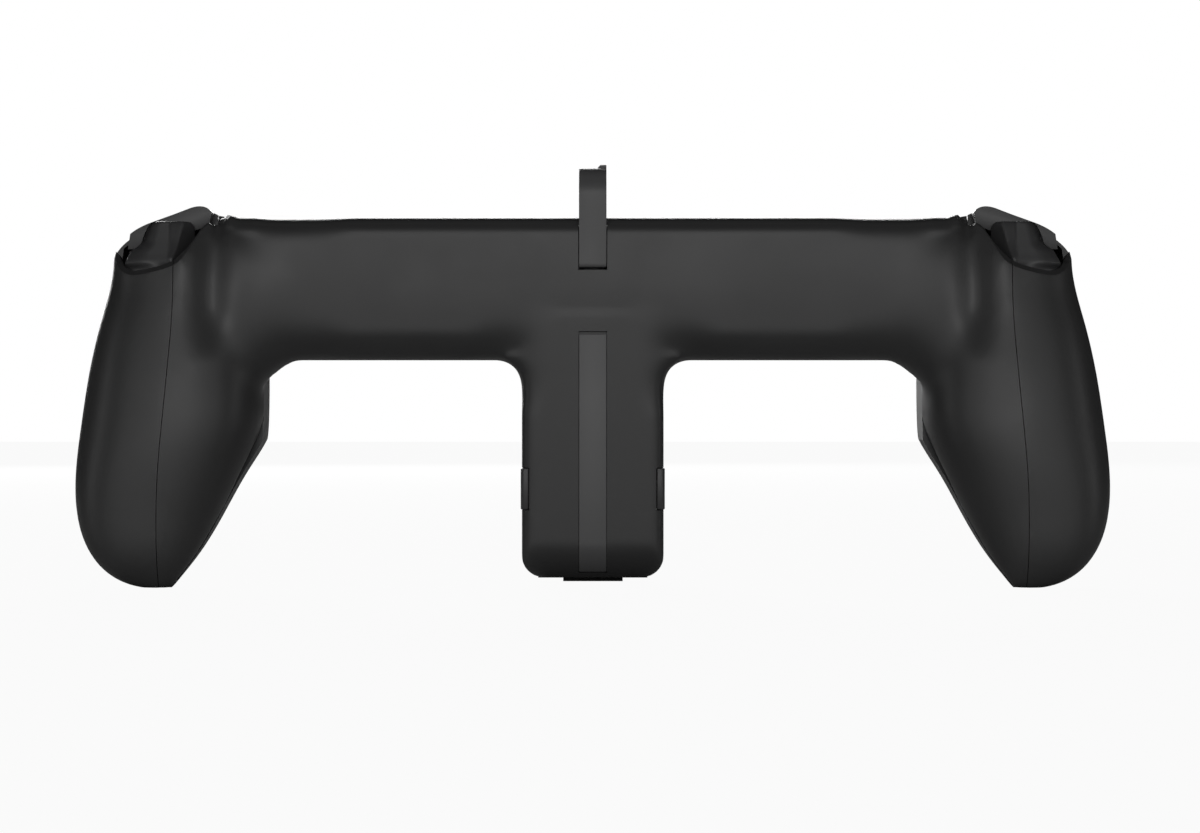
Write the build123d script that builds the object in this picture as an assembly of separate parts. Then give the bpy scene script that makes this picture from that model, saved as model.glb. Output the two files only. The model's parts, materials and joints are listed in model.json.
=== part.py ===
from build123d import *
from math import sqrt
import os

# Ergonomic grip controller that holds a handheld console between two handles.
# Millimetres. X runs along the bridge, +X is the right-hand unit as seen by the player.
# +Y points to the rear (the side of the bridge and stem backs), +Z is up.
# The part stands upright: both handle tips and the foot under the ledge are at Z = 0.
# Depths are written from the plane of the bridge's back: negative is towards the player.

# Main sizes
back_y = 11.75
bridge_bottom = 59.2
bridge_top = 96.6
bridge_depth = 12.0
bridge_round_bottom = 8.0
bridge_round_top = 4.6
bridge_crown = 0.5
stem_half = 18.6
stem_bottom = 1.7
stem_corner = 6.0
stem_rear_corner = 3.0
stem_heel_round = 9.5
junction_round = 6.0
inner_face = 87.5
handle_depth = 26.0
wall = 1.8
seam = 0.15
running_fit = 0.05
slide_fit = 0.15

# Depth of the console that the controller is made for; its height is what the hook leaves above the ledge
console_depth = 14.0

# Handle sections: height, inner x, outer x, front, middle and rear depth
handle_rows = [
    (0.0, 109.2, 117.0, 3.0, 5.0, 7.5),
    (2.5, 107.3, 124.4, -2.0, 3.5, 9.0),
    (8.0, 103.6, 130.6, -8.0, 0.5, 10.2),
    (18.0, 98.2, 135.1, -15.0, -4.0, 10.5),
    (30.0, 92.1, 136.2, -20.5, -8.0, 10.5),
    (42.0, inner_face, 135.3, -24.4, -11.0, 10.0),
    (55.0, inner_face, 133.5, -26.0, -12.0, 8.5),
    (69.0, inner_face, 130.4, -26.0, -12.0, 6.3),
    (84.0, inner_face, 127.1, -26.0, -12.0, 4.0),
    (101.5, inner_face, 122.8, -26.0, -12.0, 1.5)]
rear_fullness = 2.4
front_inner_round = 3.5
front_outer_round = (11.0, 9.0)
solid_tip_rows = 2
cavity_overrun = 2.0

# Shoulder sections between bridge and handle: x, bottom, top, rear depth
shoulder_rows = [
    (70.0, 59.2, 96.6, 0.0),
    (80.0, 58.6, 96.6, 0.1),
    (88.0, 52.0, 96.6, 1.2),
    (97.0, 38.0, 96.6, 3.4),
    (108.0, 24.0, 96.6, 6.4)]
shoulder_fullness = 3.2

# Seam between the rear shell and the grip cover, in x and height
grip_seam = [(109.5, 104.0), (108.9, 76.0), (110.0, 55.0), (112.0, 30.0), (112.4, 14.0), (112.0, -4.0)]
# Rim of the trigger opening, in x and height
rim_line = [(93.5, 96.6), (98.6, 95.2), (101.3, 93.8), (103.0, 91.7), (104.4, 89.2), (106.4, 85.8),
            (108.6, 83.8), (113.0, 82.2), (119.5, 81.1), (122.7, 82.0), (124.6, 83.8), (125.9, 86.0),
            (127.5, 88.0)]
# How far the front shell's loft runs past its flat inner face before it is cut there
face_trim = 1.5
# Top edge of the front shell, in x and height
front_top = [(86.0, 96.9), (94.0, 97.0), (99.0, 97.6), (101.6, 98.7), (104.4, 98.9), (112.0, 96.4),
             (118.0, 94.0), (122.6, 91.6), (127.6, 85.6)]
lid_wall = 1.1
# Solid corner of the rear shell beside the trigger opening
corner_wall_end = 98.6
corner_wall_front = -6.2
corner_wall_low = 93.4
seam_clear = 0.3

# Clamp hook
hook_width = 7.2
hook_thick = 2.6
hook_top = 109.8
hook_bend = 7.4
hook_pad_thick = 0.9
hook_tip_drop = 2.6
hook_tab_rise = 0.9
hook_tab_width = 2.6
hook_tab_depth = 8.0
hook_strip_end = 83.3
hook_slot_end = 82.6
hook_lip = 3.6
hook_chamfer = 0.6
slider_thick = 2.0
slider_depth = -4.5
slider_end = 28.0
slider_jog = 3.0
rack_pitch = 1.5
rack_depth = 0.6
rack_first = 31.0
rack_teeth = 8
hook_clear = 0.4
rail_thick = 1.4
anchor_half = 4.2
anchor_z = (6.0, 9.0)
spring_eye = (1.4, 1.2)
clamp_spring_radii = (1.1, 1.7)

# Lower strip let into the stem's back
strip_width = 7.2
strip_thick = 1.0
strip_top = 65.8
strip_gap = 0.8
strip_bottom = 3.5

# Release buttons on the stem
release_low = 19.9
release_high = 30.8
release_proud = 0.3
release_travel = 1.0
release_front = -8.4
release_edge = 2.0
release_wrap = 1.9
release_cover = 0.8
release_plunger = 2.4
release_nose_gap = 0.3
release_spring_wall = 0.6
release_spring_low = 7.6
release_stop_thick = 1.4
release_stop_half = 4.2

# Ledge under the console
ledge_thick = 2.1
ledge_low = 1.5
ledge_half = 14.5
ledge_lip_thick = 2.0
ledge_lip_rise = 3.4
sole_thick = 0.6
plug_width = 8.3
plug_thick = 2.5
plug_height = 6.6
plug_base = (11.0, 5.0, 1.6)

# Front cover of bridge and stem
cover_thick = 2.0
cover_end = 86.2
frame_bar = 89.6
root_half = 13.0
console_pad = 0.8
pad_recess = 0.4
screw_shank = 1.0
screw_head = 1.9
screw_head_deep = 1.1
screw_length = 7.0
boss_radius = 2.5
cover_screws = [(72.0, 65.5), (72.0, 91.5), (13.0, 56.0), (13.0, 11.0)]

# Rubber pads
pad_x = (32.0, 64.0)
pad_z = (66.0, 90.0)
pad_corner = 3.0
stem_pad_half = 12.0
stem_pad_z = (20.0, 48.0)
foot_deep = (-27.0, -21.0)
foot_half = 8.0
foot_recess = 0.5
sole_inset = 1.0
hole_clear = 0.4

# Thumbstick
stick_x = 103.0
stick_z = 89.6
stick_pivot_deep = 6.0
stick_hole = 7.0
stick_dome = 7.8
stick_dome_wall = 0.7
stick_dome_cut = 3.6
stick_neck = 3.2
stick_cap = 9.6
stick_cap_thick = 2.6
stick_proud = 8.8
stick_dish = 0.7
stick_hub = 2.6
stick_pin = 0.6
stick_pin_reach = 4.6
yoke_outer = 5.2
yoke_inner = 3.9
yoke_half = 1.1
yoke_pin_reach = 6.4
carrier_outer = 6.9
carrier_inner = 5.6
carrier_up = 1.4
carrier_down = 3.5
cup_inner = 7.15
cup_outer = 8.0
cup_up = -0.5
cup_down = 6.0
cup_floor = 1.0
leg_reach = (8.4, 4.85)
leg_radius = 1.0
ear_radius = 1.3
ear_thick = 1.2

# Buttons
face_x = 108.5
face_z = 63.0
face_pitch = 8.2
face_radius = 3.9
face_proud = 1.3
menu_x = 94.8
menu_z = 75.2
menu_radius = 2.1
menu_proud = 0.8
home_x = 101.0
home_z = 47.5
home_radius = 2.7
home_proud = 0.7
button_clear = 0.15
button_flange = 0.9
button_flange_thick = 1.0
flange_gap = 0.4
button_press = 1.2
button_foot = -21.3
low_flange_drop = 0.8
menu_flange_drop = 0.6
cross_half = 10.0
cross_arm = 3.3
cross_proud = 1.6
cross_clear = 0.6
cross_flange = 1.6
cross_flange_drop = 0.7
cross_pivot = -20.6
cross_hub = 2.4
rocker_half = 4.0
dimple = 0.5

# Boards and membranes
board_deep = -17.0
board_thick = 1.6
board_x = (90.6, 124.0)
board_z = (41.0, 78.9)
board_posts = [(92.9, 43.6), (122.0, 43.6), (92.5, 67.6), (122.2, 77.0)]
post_radius = 1.5
membrane_thick = 0.8
membrane_gap = 0.2
membrane_half = 12.6
shelf_low = 79.5
shelf_thick = 1.7
main_board_x = (26.0, 66.0)
main_board_z = (66.0, 88.0)
main_board_deep = -7.6
main_board_thick = 1.2
board_post_inset = 3.0
connector_x = (58.0, 66.0)
ribbon_z = (70.0, 77.0)
ribbon_thick = 0.3
ribbon_reach = 95.0

# Bumper
bumper_front = -11.7
bumper_deep = 5.0
bumper_proud = 0.45
bumper_pivot = (103.2, 96.2)
bumper_pin = 1.0
bumper_block = (99.6, 105.6, 93.6)
bumper_inset = 0.3
bumper_top = [(100.5, 97.7), (102.0, 99.0), (103.6, 99.3), (107.8, 98.2), (114.3, 95.8), (118.0, 94.4), (122.0, 92.0)]
bumper_under = [(122.6, 88.4), (119.5, 88.4), (101.2, 94.6)]

# Trigger
trigger_front = -6.3
trigger_inner = 104.6
trigger_ridge = 110.8
trigger_outer = 125.4
trigger_top = 95.5
trigger_low = 80.6
trigger_wall = 1.6
trigger_pivot = (-4.9, 87.6)
trigger_clear = 0.45
axle_radius = 1.0
lug_x = (110.8, 113.6)
lug_radius = 1.9
spring_outer = 1.9
spring_length = 1.6

# Rumble motor in the handle
motor_x = 116.0
motor_deep = 0.0
motor_low = 20.0
motor_radius = 5.5
motor_length = 14.0
motor_shaft = 1.0
weight_radius = 5.2
weight_length = 4.0
weight_gap = 0.8
weight_hub = 2.0
shaft_depth = 3.0
cradle_rings = [(24.0, 25.5), (30.5, 32.0)]
cradle_wall = 2.0

big = 400.0
os.makedirs("parts", exist_ok=True)


def save(shape, name):
    solids = shape.solids()
    shape = solids[0] if len(solids) == 1 else Compound(children=solids)
    shape.label = name
    export_step(shape, f"parts/{name}.step")


def save_pair(shape, name):
    save(shape, name + "_right")
    save(shape.mirror(Plane.YZ), name + "_left")


def deep(offset):
    # Y of a depth counted from the plane of the bridge's back
    return back_y + offset


def block(x_span, deep_span, z_span):
    # Box from its limits in x, depth and height
    size = [abs(b - a) for a, b in (x_span, deep_span, z_span)]
    mid = [(a + b) / 2 for a, b in (x_span, deep_span, z_span)]
    return Pos(mid[0], deep(mid[1]), mid[2]) * Box(*size)


def rod(x, z, radius, deep_span):
    # Round bar along Y between two depths
    length = abs(deep_span[1] - deep_span[0])
    middle = deep((deep_span[0] + deep_span[1]) / 2)
    return Pos(x, middle, z) * Rot(90, 0, 0) * Cylinder(radius, length)


def cross_rod(x_span, offset, z, radius):
    # Round bar along X
    middle = (x_span[0] + x_span[1]) / 2
    return Pos(middle, deep(offset), z) * Rot(0, 90, 0) * Cylinder(radius, abs(x_span[1] - x_span[0]))


def upright(x, offset, radius, z_span):
    # Round bar along Z
    low, high = z_span
    return Pos(x, deep(offset), (low + high) / 2) * Cylinder(radius, high - low)


def bulge(low, high, flat, peak, fullness, place):
    # Closed wire: a straight chord from low to high and two quarter curves that meet at peak
    middle = (low + high) / 2
    half = (high - low) / 2
    pull = (8 * 0.5 ** (1 / fullness) - 4) / 3

    def at(along, across):
        return Vector(*place(middle + along * half, flat + across * (peak - flat)))

    first = Edge.make_bezier(at(-1, 0), at(-1, pull), at(-pull, 1), at(0, 1))
    second = Edge.make_bezier(at(0, 1), at(pull, 1), at(1, pull), at(1, 0))
    chord = Edge.make_line(at(1, 0), at(-1, 0))
    return Wire([first, second, chord])


def front_section(inner, outer, chord, front, inset, height):
    # Closed wire of the front half: flat sides and face joined by soft corners
    width = outer - inner
    depth = chord - front
    small = min(front_inner_round - inset, 0.4 * width, 0.8 * depth)
    wide = min(front_outer_round[0] - inset, 0.5 * width)
    tall = min(front_outer_round[1] - inset, 0.85 * depth)
    pull = 0.55

    def at(x, offset):
        return Vector(x, deep(offset), height)

    edges = [
        Edge.make_line(at(inner, chord), at(inner, front + small)),
        Edge.make_bezier(at(inner, front + small), at(inner, front + small * (1 - pull)),
                         at(inner + small * (1 - pull), front), at(inner + small, front)),
        Edge.make_line(at(inner + small, front), at(outer - wide, front)),
        Edge.make_bezier(at(outer - wide, front), at(outer - wide * (1 - pull), front),
                         at(outer, front + tall * (1 - pull)), at(outer, front + tall)),
        Edge.make_line(at(outer, front + tall), at(outer, chord)),
        Edge.make_line(at(outer, chord), at(inner, chord))]
    return Wire(edges)


def handle_half(rear, inset, rows):
    # Loft of one half of the right handle, drawn in by inset from its outer skin.
    # A hollow, which is drawn in, runs past the plane between the halves.
    over = cavity_overrun if inset > 0 else 0
    wires = []
    for height, inner, outer, front, middle, back in rows:
        if rear:
            wires.append(bulge(inner + inset, outer - inset, middle - over, back - inset, rear_fullness,
                               lambda u, v, z=height: (u, deep(v), z)))
        else:
            wires.append(front_section(inner + inset, outer - inset, middle - seam + over, front + inset,
                                       inset, height))
    half = Solid.make_loft(wires)
    return half & block((0, big), (split, 60), (-1, 200)) if rear and not inset else half


def shoulder(inset):
    # Loft along X that carries the bridge's back into the handle
    wires = []
    for x, bottom, top, back in shoulder_rows:
        wires.append(bulge(bottom + inset, top - inset, -bridge_depth, back - inset, shoulder_fullness,
                           lambda u, v, x=x: (x, deep(v), u)))
    return Solid.make_loft(wires)


def line_region(points, side_points):
    # Face in the XZ plane bounded by a spline and straight lines through side_points
    curve = Edge.make_spline([Vector(x, 0, z) for x, z in points])
    ring = [points[-1]] + side_points + [points[0]]
    lines = [Edge.make_line(Vector(a[0], 0, a[1]), Vector(b[0], 0, b[1])) for a, b in zip(ring, ring[1:])]
    return Face(Wire([curve] + lines))


def through(face, deep_span):
    # Prism of an XZ face between two depths
    low, high = min(deep_span), max(deep_span)
    return Pos(0, deep(low), 0) * Solid.extrude(face, Vector(0, high - low, 0))


def bridge_profile(inset, front):
    # Section of the bridge in the YZ plane
    low = bridge_bottom + inset
    high = bridge_top - inset
    back = deep(-inset)
    with BuildSketch(Plane.YZ) as section:
        with BuildLine():
            FilletPolyline((deep(front), low), (back - bridge_crown, low), (back, (low + high) / 2),
                           (back - bridge_crown, high), (deep(front), high),
                           radius=[bridge_round_bottom - inset, 250.0, bridge_round_top - inset])
            Line((deep(front), high), (deep(front), low))
        make_face()
    return section.sketch


def stem_solid(inset, front, top):
    # Stem with rounded lower corners, rounded rear edges and a rounded heel
    half = stem_half - inset
    low = stem_bottom + inset
    back = deep(-inset)
    with BuildSketch(Plane.YZ) as section:
        with BuildLine():
            FilletPolyline((deep(front), low), (back, low), (back, top), radius=stem_heel_round - inset)
            Line((back, top), (deep(front), top))
            Line((deep(front), top), (deep(front), low))
        make_face()
    side = extrude(section.sketch, half, both=True)
    with BuildSketch(Plane.XY) as plan:
        with BuildLine():
            FilletPolyline((-half, deep(front)), (-half, back), (half, back), (half, deep(front)),
                           radius=stem_rear_corner - inset / 2)
            Line((half, deep(front)), (-half, deep(front)))
        make_face()
    column = extrude(plan.sketch, top)
    with BuildSketch(Plane.XZ) as face:
        with BuildLine():
            FilletPolyline((-half, top), (-half, low), (half, low), (half, top),
                           radius=stem_corner - inset / 2)
            Line((half, top), (-half, top))
        make_face()
    plate = extrude(face.sketch, big, both=True)
    return side & column & plate


def junction(inset, front):
    # Quarter-round webs where the stem meets the bridge
    size = junction_round
    x0 = stem_half - inset
    z0 = bridge_bottom + inset
    web = block((x0 - 1, x0 + size), (front, -inset - bridge_crown), (z0 - size, z0 + 1))
    web -= rod(x0 + size, z0 - size, size, (front - 1, 1))
    return web + web.mirror(Plane.YZ)


def both(shape):
    return shape + shape.mirror(Plane.YZ)


front_y = -handle_depth
split = -bridge_depth
cover_back = split + cover_thick
ledge_top = ledge_low + ledge_thick
rest_top = ledge_top + sole_thick
hook_under = hook_top - hook_thick - hook_pad_thick
console_back = split - console_pad + pad_recess
console_mid = console_back - console_depth / 2
seam_side = line_region(grip_seam, [(big, -4.0), (big, 104.0)])
outer_side = through(seam_side, (-60, 60))
above_rim = through(line_region(rim_line, [(140.0, 96.0), (140.0, 130.0), (60.0, 130.0), (60.0, bridge_top)]),
                    (split, 40))
above_front = through(line_region(front_top, [(140.0, 85.6), (140.0, 130.0), (80.0, 130.0), (80.0, 96.9)]),
                      (-60, split))
front_rows = [(row[0], row[1] - (face_trim if row[1] == inner_face else 0)) + row[2:] for row in handle_rows]
cavity_rows = handle_rows[solid_tip_rows:]


def rear_half_handle():
    return handle_half(True, 0, handle_rows) - above_rim


def front_of_seam():
    # Room in front of the plane between the handle's halves, where the shoulder must not reach
    low_rows = [(middle + seam_clear, height) for height, _, _, _, middle, _ in handle_rows if height < 60]
    outline = [(-40.0, 0.0)] + low_rows + [(-40.0, low_rows[-1][1])]
    points = [(0, deep(offset), height) for offset, height in outline]
    side = Face(Wire([Edge.make_line(a, b) for a, b in zip(points, points[1:] + points[:1])]))
    return Pos(inner_face - 1, 0, 0) * Solid.extrude(side, Vector(big, 0, 0))


def rear_cavity():
    return handle_half(True, wall, cavity_rows)


def release_window(clear, inner, cover):
    # Space of the release button in the stem's side, from inner outwards and below cover
    reach = stem_half + release_proud + clear
    tall = release_high - release_low + 2 * clear
    middle = (release_high + release_low) / 2
    with BuildSketch(Plane.YZ) as slot:
        with Locations((deep(release_front / 2), middle)):
            RectangleRounded(-release_front * 2, tall, min(2.4, tall / 2 - 0.1))
    bar = extrude(slot.sketch, reach)
    return bar & block((inner, reach), (release_front - clear, cover), (0, 60))


def release_stop():
    # Rib that guides the button's plunger and carries its spring
    middle = (release_high + release_low) / 2
    centre = slider_depth - slider_thick / 2
    rib = block((release_spring_low - release_stop_thick, release_spring_low), (release_front, -wall + 0.3),
                (middle - release_stop_half, middle + release_stop_half))
    gap = release_plunger / 2 + slide_fit
    return rib - block((0, big), (centre - gap, centre + gap), (middle - gap, middle + gap))


def rear_shell():
    half_bridge = extrude(bridge_profile(0, split), 100.0, both=True)
    ends = block((-96, 96), (-60, 40), (0, 200))
    body = half_bridge & ends
    body += stem_solid(0, split, bridge_bottom + 12)
    body += junction(0, split)
    wings = (shoulder(0) - front_of_seam() + rear_half_handle()) - outer_side - above_rim
    body += both(wings)
    # hollow of the bridge, the stem and the handles
    body -= extrude(bridge_profile(wall, cover_back), 94.0, both=True)
    body -= stem_solid(wall, cover_back, bridge_bottom + 12)
    for room in (shoulder(wall), rear_cavity()):
        room &= block((60, big), (cover_back, 40), (0, 200)) + block((frame_bar, big), (-60, 40), (0, 200))
        room -= block((60, corner_wall_end), (corner_wall_front, 40), (corner_wall_low, 200))
        body -= room
        body -= room.mirror(Plane.YZ)
    body -= cover_plate(slide_fit)
    notch_half = root_half + slide_fit
    body -= block((-notch_half, notch_half), (split - 1, cover_back + slide_fit), (0, 5))
    # channel of the clamp strip and recess of the lower strip
    slot_half = hook_width / 2 + 0.2
    slot_front = slider_depth - slider_thick - 0.4
    body -= block((-slot_half, slot_half), (-hook_thick - 1.2, 2), (hook_slot_end, big))
    body -= block((-slot_half, slot_half), (slot_front, 2), (bridge_top - wall - 1.5, big))
    body -= stem_strip_ring(0.12, strip_top + strip_gap)
    body -= both(release_window(slide_fit, stem_half - release_edge, 1.0))
    body -= both(release_window(slide_fit, stem_half - release_wrap - release_travel - slide_fit, -release_cover))
    body += both(release_stop())
    # screw bosses and the slider's rails
    for x, z in cover_screws:
        boss = rod(x, z, boss_radius, (cover_back, -wall + 0.3))
        body += both(boss) & envelope()
    rail_start = hook_width / 2 + slide_fit
    rail = block((rail_start, rail_start + rail_thick), (slider_depth - slider_thick, -wall + 0.2),
                 (release_high + 4.0, bridge_bottom + 14))
    body += both(rail) & envelope()
    anchor = block((-anchor_half, anchor_half), (slider_depth - slider_thick - 0.3, -wall + 0.3), anchor_z)
    body += anchor & envelope()
    # posts of the main board
    for x in (main_board_x[0] + board_post_inset, main_board_x[1] - board_post_inset):
        for z in (main_board_z[0] + board_post_inset, main_board_z[1] - board_post_inset):
            post = rod(x, z, post_radius, (main_board_deep + main_board_thick, -wall + 0.3))
            body += post & envelope()
    for x, z in cover_screws:
        body -= both(rod(x, z, screw_shank, (cover_back - 1, cover_back - cover_thick + screw_length)))
    return body


def envelope():
    # Form inside the skin of bridge and stem, to trim what stands in them
    skin = wall - 0.3
    return extrude(bridge_profile(skin, split), 90.0, both=True) + stem_solid(skin, split, bridge_bottom + 12)


def stem_strip_ring(clear, top):
    # Skin of the stem's back and heel, as wide as the lower strip
    outer = stem_solid(0, split, bridge_bottom + 12) + block((-5, 5), (-4, 0), (60, 70))
    inner = stem_solid(strip_thick + clear, split - 5, bridge_bottom + 14)
    half = strip_width / 2 + clear
    limits = block((-half, half), (-7.5, 1), (strip_bottom - clear, top))
    return (outer & limits) - inner


def cover_plate(clear):
    # T-shaped plate that closes bridge and stem from the front
    edge = wall - clear
    cut = cover_end + clear
    plate = extrude(bridge_profile(edge, split), cut, both=True)
    plate += stem_solid(edge, split, bridge_bottom + 12)
    return plate & block((-cut, cut), (split, cover_back), (0, 200))


def front_cover():
    plate = cover_plate(0)
    lip_back = console_mid - console_depth / 2
    lip_front = lip_back - ledge_lip_thick
    ledge = block((-ledge_half, ledge_half), (lip_front, split - 0.02), (ledge_low, ledge_top))
    root = block((-root_half, root_half), (split - 0.5, cover_back), (stem_bottom, ledge_top))
    lip = block((-ledge_half, ledge_half), (lip_front, lip_back), (ledge_low, ledge_top + ledge_lip_rise))
    ledge_edges = (ledge + lip).edges().filter_by(Axis.X).group_by(Axis.Y)[0]
    shelf = fillet(ledge_edges, 0.8)
    plate += shelf + root
    base_x, base_y, base_z = plug_base
    plate -= block((-base_x / 2, base_x / 2), (console_mid - base_y / 2, console_mid + base_y / 2),
                   (ledge_top - base_z, ledge_top + 1))
    for x, z in cover_screws:
        plate -= both(rod(x, z, screw_shank, (split - 1, cover_back + 1)))
        plate -= both(rod(x, z, screw_head, (split - 1, split + screw_head_deep)))
    plate -= both(pad_shape(pad_recess))
    plate -= block((-stem_pad_half, stem_pad_half), (split - 1, split + pad_recess), stem_pad_z)
    plate -= block((-foot_half, foot_half), foot_deep, (ledge_low - 1, ledge_low + foot_recess))
    return plate


def pad_shape(depth):
    # Rubber pad let into the bridge's front
    pad = block(pad_x, (split - console_pad + pad_recess, split + pad_recess), pad_z)
    edges = pad.edges().filter_by(Axis.Y)
    return fillet(edges, pad_corner) & block((0, big), (-60, split + depth), (0, 200))


def clamp_hook():
    half = hook_width / 2
    front_end = console_mid - console_depth / 2 - hook_clear
    core = deep(-hook_thick / 2)
    core_top = hook_top - hook_thick / 2
    with BuildSketch(Plane.YZ) as section:
        with BuildLine():
            line = FilletPolyline((core, hook_strip_end + 1), (core, core_top),
                                  (deep(front_end - hook_lip / 2), core_top), radius=hook_bend - hook_thick / 2)
            offset(line, amount=hook_thick / 2, side=Side.BOTH, kind=Kind.ARC)
        make_face()
    arm = extrude(section.sketch, half, both=True)
    arm &= block((-half, half), (front_end - hook_lip, 0), (hook_strip_end, hook_top))
    arm += block((-half, half), (front_end - hook_lip, front_end), (hook_under - hook_tip_drop, core_top))
    jog_top = hook_strip_end + slider_jog
    jog = block((-half, half), (slider_depth - slider_thick, -0.01), (hook_strip_end, jog_top))
    low_edges = jog.edges().filter_by(Axis.X).group_by(Axis.Z)[0].sort_by(Axis.Y)[-1:]
    arm += chamfer(low_edges, hook_chamfer)
    bar = block((-half, half), (slider_depth - slider_thick, slider_depth), (slider_end, jog_top))
    for i in range(rack_teeth):
        z = rack_first + i * rack_pitch
        notch = Pos(half, deep(slider_depth - slider_thick / 2), z) * Rot(0, 45, 0) * Box(
            rack_depth * sqrt(2), slider_thick * 2, rack_depth * sqrt(2))
        bar -= both(notch)
    tab = block((-half, -half + hook_tab_width), (-hook_bend - hook_tab_depth, -hook_bend),
                (hook_top - 1.0, hook_top + hook_tab_rise))
    tab = chamfer(tab.edges().filter_by(Axis.Y).group_by(Axis.Z)[-1].sort_by(Axis.X)[-1:], 1.0)
    eye_half, eye_high = spring_eye
    eye = block((-eye_half, eye_half), (slider_depth - slider_thick, slider_depth),
                (slider_end - eye_high, slider_end))
    return arm + bar + tab + eye


def clamp_spring():
    low = anchor_z[1]
    high = slider_end - spring_eye[1]
    middle = slider_depth - slider_thick / 2
    bore, outer = clamp_spring_radii
    place = Pos(0, deep(middle), (low + high) / 2)
    return place * (Cylinder(outer, high - low) - Cylinder(bore, high - low))


def release_button():
    body = release_window(0, stem_half - release_wrap, -release_cover - slide_fit)
    body &= stem_solid(-release_proud, split, bridge_bottom)
    middle = (release_high + release_low) / 2
    nose = hook_width / 2 + slide_fit + release_nose_gap
    half = release_plunger / 2
    centre = slider_depth - slider_thick / 2
    body += block((nose + release_travel, stem_half - wall + 0.3), (centre - half, centre + half),
                  (middle - half, middle + half))
    return body


def release_spring():
    middle = (release_high + release_low) / 2
    centre = slider_depth - slider_thick / 2
    ring = release_plunger * 0.75 + 0.1
    low = release_spring_low
    high = stem_half - release_wrap
    tube = cross_rod((low, high), centre, middle, ring + release_spring_wall)
    return tube - cross_rod((low - 1, high + 1), centre, middle, ring)


def grip_cover():
    body = rear_half_handle() & outer_side
    body -= rear_cavity()
    # rings that hold the rumble motor
    for low, high in cradle_rings:
        ring = upright(motor_x, motor_deep, motor_radius + cradle_wall, (low, high))
        ring += block((motor_x, big), (motor_deep - cradle_wall, motor_deep + cradle_wall), (low, high))
        body += ring & handle_half(True, wall - 0.3, cavity_rows) & outer_side
    body -= upright(motor_x, motor_deep, motor_radius + running_fit, (motor_low, motor_low + motor_length))
    shift = Pos(seam, 0, 0)
    return (body & (shift * outer_side)).solids().sort_by(SortBy.VOLUME)[-1]


def panel_hole(x, z, radius):
    return rod(x, z, radius, (front_y - 1, front_y + 4.2))


def cross_shape(grow, deep_span):
    # Cross of the direction pad, with rounded arm ends
    reach = cross_half + grow
    arm = cross_arm + grow
    flat = block((face_x - reach, face_x + reach), deep_span, (face_z - arm, face_z + arm))
    tall = block((face_x - arm, face_x + arm), deep_span, (face_z - reach, face_z + reach))
    flat = fillet(flat.edges().filter_by(Axis.Y), 1.6)
    tall = fillet(tall.edges().filter_by(Axis.Y), 1.6)
    return flat + tall


def face_places():
    return {"right": (face_x + face_pitch, face_z), "left": (face_x - face_pitch, face_z),
            "top": (face_x, face_z + face_pitch), "bottom": (face_x, face_z - face_pitch)}


def leg_places():
    across, up = leg_reach
    return [(stick_x + i * across, stick_z + j * up) for i in (-1, 1) for j in (-1, 1)]


def front_shell(cross):
    limits = block((inner_face, big), (front_y, split - seam), (-1, 200))
    low_limits = block((0, big), (-60, 60), (-1, 43.0))
    body = handle_half(False, 0, front_rows) & (limits + low_limits)
    body &= block((inner_face, big), (front_y, 60), (-1, 200))
    body -= above_front
    inner = handle_half(False, wall, cavity_rows)
    inner &= block((inner_face + wall, big), (front_y + wall, 60), (0, 200))
    lid = through(line_region([(x, z - lid_wall) for x, z in front_top],
                              [(140.0, 84.5), (140.0, 130.0), (80.0, 130.0), (80.0, 95.8)]), (-60, split + 5))
    inner -= lid
    body -= inner
    # shelf with the trigger's lug, block for the bumper's pivot, posts for the board
    shelf = block((inner_face + 0.5, lug_x[1] + 6), (front_y + 0.5, split - 0.3),
                  (shelf_low, shelf_low + shelf_thick))
    body += shelf & handle_half(False, 0.5, handle_rows)
    body += trigger_lug()
    x0, x1, z0 = bumper_block
    pivot_block = block((x0, x1), (split - 1.9, split), (z0, big)) & handle_half(False, 0.5, handle_rows)
    body += pivot_block - above_front
    body -= rod(bumper_pivot[0], bumper_pivot[1], bumper_pin + running_fit, (split - 1.7, split + 1))
    for x, z in board_posts:
        post = rod(x, z, post_radius, (front_y + 0.8, board_deep))
        body += post & handle_half(False, 0.5, handle_rows)
    # openings of the controls
    body -= panel_hole(stick_x, stick_z, stick_hole)
    body -= panel_hole(menu_x, menu_z, menu_radius + button_clear)
    body -= panel_hole(home_x, home_z, home_radius + button_clear)
    if cross:
        body -= cross_shape(cross_clear, (front_y - 1, front_y + 3.0))
    else:
        for x, z in face_places().values():
            body -= panel_hole(x, z, face_radius + button_clear)
    # legs that carry the stick's cup
    for x, z in leg_places():
        leg = rod(x, z, leg_radius, (front_y + 0.8, front_y + stick_pivot_deep - cup_up))
        body += leg & handle_half(False, 0.5, handle_rows)
    return body.solids().sort_by(SortBy.VOLUME)[-1]


def trigger_lug():
    y_pivot, z_pivot = trigger_pivot
    with BuildSketch(Plane.YZ) as side:
        with BuildLine():
            Polyline((deep(split - 2.0), shelf_low + 0.2), (deep(split - 2.0), z_pivot - 1.6),
                     (deep(y_pivot - 0.5), z_pivot + lug_radius - 0.1),
                     (deep(y_pivot + 0.5), z_pivot - lug_radius + 0.1),
                     (deep(split + 1.0), shelf_low + 0.2), close=True)
        make_face()
    plate = Pos(lug_x[0], 0, 0) * extrude(side.sketch, lug_x[1] - lug_x[0])
    plate += cross_rod(lug_x, y_pivot, z_pivot, lug_radius)
    return plate - cross_rod((lug_x[0] - 1, lug_x[1] + 1), y_pivot, z_pivot, axle_radius)


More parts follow.
